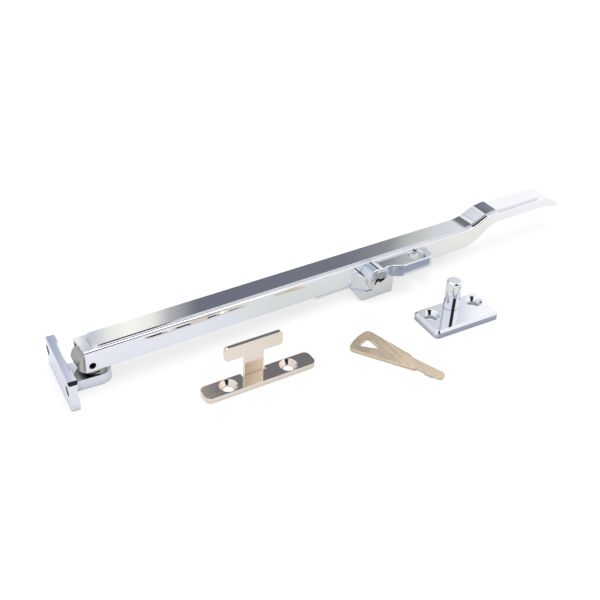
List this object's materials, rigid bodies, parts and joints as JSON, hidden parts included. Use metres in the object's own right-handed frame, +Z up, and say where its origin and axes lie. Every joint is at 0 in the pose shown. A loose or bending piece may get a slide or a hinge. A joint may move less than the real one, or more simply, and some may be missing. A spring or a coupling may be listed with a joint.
{
  "type": "locking casement window stay",
  "caption": "Key-locking casement window stay: channel arm with hump and tail on a swivel bracket, with lock, pin plate, T-shaped keep plate and key laid beside it",
  "frame": {"origin": "the swivel axis of the mounting bracket, at the height of the surface the set lies on", "axes": "+X along the stay arm from the bracket to its tail, +Y away from the key cylinder, +Z up"},
  "size_m": [0.2721, 0.0926, 0.0209],
  "materials": {
    "polished_chrome": "polished chrome plate",
    "satin_nickel": "satin nickel plate on a cast knuckle",
    "zinc_steel": "bright zinc-plated steel",
    "nylon": "natural nylon",
    "black_steel": "blackened spring steel",
    "nickel_plate": "nickel-plated brass",
    "brass": "stamped brass",
    "spring_steel": "spring steel",
    "warm_nickel": "nickel-plated pressed brass",
    "key_nickel": "brushed nickel-plated key brass"
  },
  "bodies": {
    "bracket": {"mounting_bracket": "polished_chrome"},
    "swivel": {"knuckle": "satin_nickel", "swivel_rivet": "zinc_steel", "swivel_washer": "nylon"},
    "arm": {"stay_arm": "polished_chrome", "pivot_pin": "black_steel", "lock_housing": "polished_chrome", "housing_screws": "zinc_steel", "channel_cover": "polished_chrome", "cover_screws": "zinc_steel", "cylinder_sleeve": "nickel_plate"},
    "plug": {"cylinder_plug": "nickel_plate", "plug_wafers": "brass", "wafer_springs": "spring_steel", "plug_clip": "spring_steel", "lock_cam": "zinc_steel"},
    "bolt": {"locking_bolt": "zinc_steel"},
    "pin_set": {"pin_plate": "polished_chrome", "stay_pin": "polished_chrome"},
    "keep": {"keep_plate": "warm_nickel"},
    "key": {"stay_key": "key_nickel"}
  },
  "joints": [
    {"name": "swivel_turn", "type": "hinge", "parent": "bracket", "child": "swivel", "pos_m": [0, 0, 0.007], "axis": [0, 0, 1], "range_deg": [-5.4, 84.6]},
    {"name": "arm_lift", "type": "hinge", "parent": "swivel", "child": "arm", "pos_m": [-0.0031, 0, 0.0109], "axis": [0, -1, 0], "range_deg": [-12, 44]},
    {"name": "plug_turn", "type": "hinge", "parent": "arm", "child": "plug", "pos_m": [0.13321, -0.012, 0.01036], "axis": [0, -1, 0], "range_deg": [0, 90]},
    {"name": "bolt_slide", "type": "slide", "parent": "arm", "child": "bolt", "axis": [0.9999, 0, -0.0164], "range_m": [0, 0.00382]},
    {"name": "pin_plate_lift", "type": "slide", "parent": "bracket", "child": "pin_set", "axis": [0, 0, 1], "range_m": [0, 0.06]},
    {"name": "keep_plate_lift", "type": "slide", "parent": "bracket", "child": "keep", "axis": [0, 0, 1], "range_m": [0, 0.06]},
    {"name": "key_lift", "type": "slide", "parent": "bracket", "child": "key", "axis": [0, 0, 1], "range_m": [0, 0.06]}
  ],
  "couplings": [
    {"joint": "plug_turn", "follows": "bolt_slide", "rad_per_m": 411.37}
  ]
}
